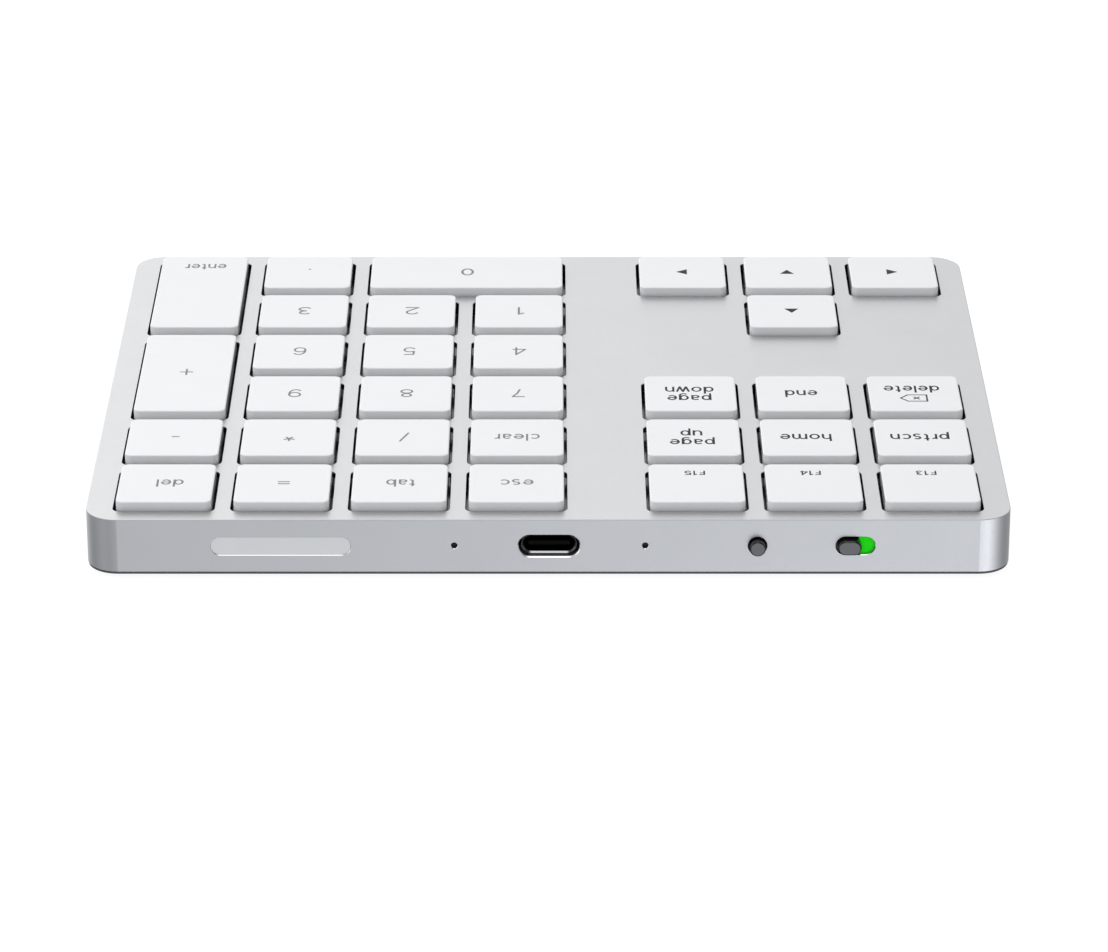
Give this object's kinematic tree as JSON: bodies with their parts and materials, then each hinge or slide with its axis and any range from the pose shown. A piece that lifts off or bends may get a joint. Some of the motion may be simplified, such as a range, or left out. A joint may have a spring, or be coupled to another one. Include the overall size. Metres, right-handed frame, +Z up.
{
  "type": "numeric keypad",
  "caption": "Slim wireless numeric keypad with navigation keys: aluminium case, white scissor keys, base cover, and a rear wall with a charging socket, pairing button and slide switch.",
  "frame": {"origin": "on the surface that the keypad stands on, below the middle of its overall box", "axes": "+X to the user's right, +Y to the rear wall with the socket, +Z up"},
  "size_m": [0.1494, 0.1194, 0.0119],
  "materials": {
    "anodised_aluminium": "bead-blasted, satin, silver anodised",
    "base_cover_plastic": "fine matt texture, dark grey",
    "foot_rubber": "matt",
    "screw_steel": "zinc plated",
    "key_plastic": "moulded ABS, very fine satin texture, white",
    "window_plastic": "satin moulded, pale grey",
    "plate_steel": "stamped sheet, black coated",
    "membrane_film": "black polyester film with printed tracks",
    "dome_rubber": "grey translucent silicone",
    "scissor_plastic": "black moulded acetal",
    "wire_steel": "drawn wire",
    "connector_steel": "drawn stainless shell",
    "connector_plastic": "black moulded insulator with plated contacts",
    "board_laminate": "solder mask",
    "chip_plastic": "moulded package",
    "light_guide_plastic": "clear smoked",
    "switch_steel": "formed sheet cover",
    "button_plastic": "glossy black moulding with a satin grey face",
    "marker_green": "printed bright green",
    "cell_foil": "laminated foil pouch",
    "wire_insulation": "silicone insulation"
  },
  "bodies": {
    "case": {"top_case": "anodised_aluminium", "bottom_cover": "base_cover_plastic", "rubber_feet": "foot_rubber", "cover_screws": "screw_steel", "plate_screws": "screw_steel", "antenna_window": "window_plastic", "key_support_plate": "plate_steel", "membrane_bottom_sheet": "membrane_film", "membrane_spacer_sheet": "membrane_film", "membrane_top_sheet": "membrane_film", "rubber_domes": "dome_rubber", "scissor_outer_frames": "scissor_plastic", "scissor_inner_frames": "scissor_plastic", "stabiliser_bars": "wire_steel", "usb_c_shell": "connector_steel", "usb_c_tongue": "connector_plastic", "main_board": "board_laminate", "board_chips": "chip_plastic", "led_light_guides": "light_guide_plastic", "tact_switch": "switch_steel", "power_switch_housing": "switch_steel", "battery_cell": "cell_foil", "battery_lead": "wire_insulation"},
    "pair_button": {"pairing_button": "button_plastic"},
    "power_slide": {"power_slider": "button_plastic", "power_on_marker": "marker_green"},
    "key_f13": {"key_f13": "key_plastic"},
    "key_f14": {"key_f14": "key_plastic"},
    "key_f15": {"key_f15": "key_plastic"},
    "key_esc": {"key_esc": "key_plastic"},
    "key_tab": {"key_tab": "key_plastic"},
    "key_equals": {"key_equals": "key_plastic"},
    "key_delete_back": {"key_delete_back": "key_plastic"},
    "key_print_screen": {"key_print_screen": "key_plastic"},
    "key_home": {"key_home": "key_plastic"},
    "key_page_up": {"key_page_up": "key_plastic"},
    "key_clear": {"key_clear": "key_plastic"},
    "key_divide": {"key_divide": "key_plastic"},
    "key_multiply": {"key_multiply": "key_plastic"},
    "key_minus": {"key_minus": "key_plastic"},
    "key_forward_delete": {"key_forward_delete": "key_plastic"},
    "key_end": {"key_end": "key_plastic"},
    "key_page_down": {"key_page_down": "key_plastic"},
    "key_7": {"key_7": "key_plastic"},
    "key_8": {"key_8": "key_plastic"},
    "key_9": {"key_9": "key_plastic"},
    "key_plus": {"key_plus": "key_plastic"},
    "key_4": {"key_4": "key_plastic"},
    "key_5": {"key_5": "key_plastic"},
    "key_6": {"key_6": "key_plastic"},
    "key_arrow_up": {"key_arrow_up": "key_plastic"},
    "key_1": {"key_1": "key_plastic"},
    "key_2": {"key_2": "key_plastic"},
    "key_3": {"key_3": "key_plastic"},
    "key_enter": {"key_enter": "key_plastic"},
    "key_arrow_left": {"key_arrow_left": "key_plastic"},
    "key_arrow_down": {"key_arrow_down": "key_plastic"},
    "key_arrow_right": {"key_arrow_right": "key_plastic"},
    "key_0": {"key_0": "key_plastic"},
    "key_decimal": {"key_decimal": "key_plastic"}
  },
  "joints": [
    {"name": "bt_pair_button_press", "type": "slide", "parent": "case", "child": "pair_button", "axis": [0, -1, 0], "range_m": [0, 0.00035], "stiffness_N_per_m": 600},
    {"name": "case_power_switch_slide", "type": "slide", "parent": "case", "child": "power_slide", "axis": [-1, 0, 0], "range_m": [0, 0.00194]},
    {"name": "key_f13_press", "type": "slide", "parent": "case", "child": "key_f13", "axis": [0, 0, 1], "range_m": [-0.0012, 0], "stiffness_N_per_m": 400, "springref_m": 0.0001, "deforming": ["rubber_domes", "scissor_outer_frames", "scissor_inner_frames"]},
    {"name": "key_f14_press", "type": "slide", "parent": "case", "child": "key_f14", "axis": [0, 0, 1], "range_m": [-0.0012, 0], "stiffness_N_per_m": 400, "springref_m": 0.0001, "deforming": ["rubber_domes", "scissor_outer_frames", "scissor_inner_frames"]},
    {"name": "key_f15_press", "type": "slide", "parent": "case", "child": "key_f15", "axis": [0, 0, 1], "range_m": [-0.0012, 0], "stiffness_N_per_m": 400, "springref_m": 0.0001, "deforming": ["rubber_domes", "scissor_outer_frames", "scissor_inner_frames"]},
    {"name": "key_esc_press", "type": "slide", "parent": "case", "child": "key_esc", "axis": [0, 0, 1], "range_m": [-0.0012, 0], "stiffness_N_per_m": 400, "springref_m": 0.0001, "deforming": ["rubber_domes", "scissor_outer_frames", "scissor_inner_frames"]},
    {"name": "key_tab_press", "type": "slide", "parent": "case", "child": "key_tab", "axis": [0, 0, 1], "range_m": [-0.0012, 0], "stiffness_N_per_m": 400, "springref_m": 0.0001, "deforming": ["rubber_domes", "scissor_outer_frames", "scissor_inner_frames"]},
    {"name": "key_equals_press", "type": "slide", "parent": "case", "child": "key_equals", "axis": [0, 0, 1], "range_m": [-0.0012, 0], "stiffness_N_per_m": 400, "springref_m": 0.0001, "deforming": ["rubber_domes", "scissor_outer_frames", "scissor_inner_frames"]},
    {"name": "key_delete_back_press", "type": "slide", "parent": "case", "child": "key_delete_back", "axis": [0, 0, 1], "range_m": [-0.0012, 0], "stiffness_N_per_m": 400, "springref_m": 0.0001, "deforming": ["rubber_domes", "scissor_outer_frames", "scissor_inner_frames"]},
    {"name": "key_print_screen_press", "type": "slide", "parent": "case", "child": "key_print_screen", "axis": [0, 0, 1], "range_m": [-0.0012, 0], "stiffness_N_per_m": 400, "springref_m": 0.0001, "deforming": ["rubber_domes", "scissor_outer_frames", "scissor_inner_frames"]},
    {"name": "key_home_press", "type": "slide", "parent": "case", "child": "key_home", "axis": [0, 0, 1], "range_m": [-0.0012, 0], "stiffness_N_per_m": 400, "springref_m": 0.0001, "deforming": ["rubber_domes", "scissor_outer_frames", "scissor_inner_frames"]},
    {"name": "key_page_up_press", "type": "slide", "parent": "case", "child": "key_page_up", "axis": [0, 0, 1], "range_m": [-0.0012, 0], "stiffness_N_per_m": 400, "springref_m": 0.0001, "deforming": ["rubber_domes", "scissor_outer_frames", "scissor_inner_frames"]},
    {"name": "key_clear_press", "type": "slide", "parent": "case", "child": "key_clear", "axis": [0, 0, 1], "range_m": [-0.0012, 0], "stiffness_N_per_m": 400, "springref_m": 0.0001, "deforming": ["rubber_domes", "scissor_outer_frames", "scissor_inner_frames"]},
    {"name": "key_divide_press", "type": "slide", "parent": "case", "child": "key_divide", "axis": [0, 0, 1], "range_m": [-0.0012, 0], "stiffness_N_per_m": 400, "springref_m": 0.0001, "deforming": ["rubber_domes", "scissor_outer_frames", "scissor_inner_frames"]},
    {"name": "key_multiply_press", "type": "slide", "parent": "case", "child": "key_multiply", "axis": [0, 0, 1], "range_m": [-0.0012, 0], "stiffness_N_per_m": 400, "springref_m": 0.0001, "deforming": ["rubber_domes", "scissor_outer_frames", "scissor_inner_frames"]},
    {"name": "key_minus_press", "type": "slide", "parent": "case", "child": "key_minus", "axis": [0, 0, 1], "range_m": [-0.0012, 0], "stiffness_N_per_m": 400, "springref_m": 0.0001, "deforming": ["rubber_domes", "scissor_outer_frames", "scissor_inner_frames"]},
    {"name": "key_forward_delete_press", "type": "slide", "parent": "case", "child": "key_forward_delete", "axis": [0, 0, 1], "range_m": [-0.0012, 0], "stiffness_N_per_m": 400, "springref_m": 0.0001, "deforming": ["rubber_domes", "scissor_outer_frames", "scissor_inner_frames"]},
    {"name": "key_end_press", "type": "slide", "parent": "case", "child": "key_end", "axis": [0, 0, 1], "range_m": [-0.0012, 0], "stiffness_N_per_m": 400, "springref_m": 0.0001, "deforming": ["rubber_domes", "scissor_outer_frames", "scissor_inner_frames"]},
    {"name": "key_page_down_press", "type": "slide", "parent": "case", "child": "key_page_down", "axis": [0, 0, 1], "range_m": [-0.0012, 0], "stiffness_N_per_m": 400, "springref_m": 0.0001, "deforming": ["rubber_domes", "scissor_outer_frames", "scissor_inner_frames"]},
    {"name": "key_7_press", "type": "slide", "parent": "case", "child": "key_7", "axis": [0, 0, 1], "range_m": [-0.0012, 0], "stiffness_N_per_m": 400, "springref_m": 0.0001, "deforming": ["rubber_domes", "scissor_outer_frames", "scissor_inner_frames"]},
    {"name": "key_8_press", "type": "slide", "parent": "case", "child": "key_8", "axis": [0, 0, 1], "range_m": [-0.0012, 0], "stiffness_N_per_m": 400, "springref_m": 0.0001, "deforming": ["rubber_domes", "scissor_outer_frames", "scissor_inner_frames"]},
    {"name": "key_9_press", "type": "slide", "parent": "case", "child": "key_9", "axis": [0, 0, 1], "range_m": [-0.0012, 0], "stiffness_N_per_m": 400, "springref_m": 0.0001, "deforming": ["rubber_domes", "scissor_outer_frames", "scissor_inner_frames"]},
    {"name": "key_plus_press", "type": "slide", "parent": "case", "child": "key_plus", "axis": [0, 0, 1], "range_m": [-0.0012, 0], "stiffness_N_per_m": 400, "springref_m": 0.0001, "deforming": ["rubber_domes", "scissor_outer_frames", "scissor_inner_frames", "stabiliser_bars"]},
    {"name": "key_4_press", "type": "slide", "parent": "case", "child": "key_4", "axis": [0, 0, 1], "range_m": [-0.0012, 0], "stiffness_N_per_m": 400, "springref_m": 0.0001, "deforming": ["rubber_domes", "scissor_outer_frames", "scissor_inner_frames"]},
    {"name": "key_5_press", "type": "slide", "parent": "case", "child": "key_5", "axis": [0, 0, 1], "range_m": [-0.0012, 0], "stiffness_N_per_m": 400, "springref_m": 0.0001, "deforming": ["rubber_domes", "scissor_outer_frames", "scissor_inner_frames"]},
    {"name": "key_6_press", "type": "slide", "parent": "case", "child": "key_6", "axis": [0, 0, 1], "range_m": [-0.0012, 0], "stiffness_N_per_m": 400, "springref_m": 0.0001, "deforming": ["rubber_domes", "scissor_outer_frames", "scissor_inner_frames"]},
    {"name": "key_arrow_up_press", "type": "slide", "parent": "case", "child": "key_arrow_up", "axis": [0, 0, 1], "range_m": [-0.0012, 0], "stiffness_N_per_m": 400, "springref_m": 0.0001, "deforming": ["rubber_domes", "scissor_outer_frames", "scissor_inner_frames"]},
    {"name": "key_1_press", "type": "slide", "parent": "case", "child": "key_1", "axis": [0, 0, 1], "range_m": [-0.0012, 0], "stiffness_N_per_m": 400, "springref_m": 0.0001, "deforming": ["rubber_domes", "scissor_outer_frames", "scissor_inner_frames"]},
    {"name": "key_2_press", "type": "slide", "parent": "case", "child": "key_2", "axis": [0, 0, 1], "range_m": [-0.0012, 0], "stiffness_N_per_m": 400, "springref_m": 0.0001, "deforming": ["rubber_domes", "scissor_outer_frames", "scissor_inner_frames"]},
    {"name": "key_3_press", "type": "slide", "parent": "case", "child": "key_3", "axis": [0, 0, 1], "range_m": [-0.0012, 0], "stiffness_N_per_m": 400, "springref_m": 0.0001, "deforming": ["rubber_domes", "scissor_outer_frames", "scissor_inner_frames"]},
    {"name": "key_enter_press", "type": "slide", "parent": "case", "child": "key_enter", "axis": [0, 0, 1], "range_m": [-0.0012, 0], "stiffness_N_per_m": 400, "springref_m": 0.0001, "deforming": ["rubber_domes", "scissor_outer_frames", "scissor_inner_frames", "stabiliser_bars"]},
    {"name": "key_arrow_left_press", "type": "slide", "parent": "case", "child": "key_arrow_left", "axis": [0, 0, 1], "range_m": [-0.0012, 0], "stiffness_N_per_m": 400, "springref_m": 0.0001, "deforming": ["rubber_domes", "scissor_outer_frames", "scissor_inner_frames"]},
    {"name": "key_arrow_down_press", "type": "slide", "parent": "case", "child": "key_arrow_down", "axis": [0, 0, 1], "range_m": [-0.0012, 0], "stiffness_N_per_m": 400, "springref_m": 0.0001, "deforming": ["rubber_domes", "scissor_outer_frames", "scissor_inner_frames"]},
    {"name": "key_arrow_right_press", "type": "slide", "parent": "case", "child": "key_arrow_right", "axis": [0, 0, 1], "range_m": [-0.0012, 0], "stiffness_N_per_m": 400, "springref_m": 0.0001, "deforming": ["rubber_domes", "scissor_outer_frames", "scissor_inner_frames"]},
    {"name": "key_0_press", "type": "slide", "parent": "case", "child": "key_0", "axis": [0, 0, 1], "range_m": [-0.0012, 0], "stiffness_N_per_m": 400, "springref_m": 0.0001, "deforming": ["rubber_domes", "scissor_outer_frames", "scissor_inner_frames", "stabiliser_bars"]},
    {"name": "key_decimal_press", "type": "slide", "parent": "case", "child": "key_decimal", "axis": [0, 0, 1], "range_m": [-0.0012, 0], "stiffness_N_per_m": 400, "springref_m": 0.0001, "deforming": ["rubber_domes", "scissor_outer_frames", "scissor_inner_frames"]}
  ]
}
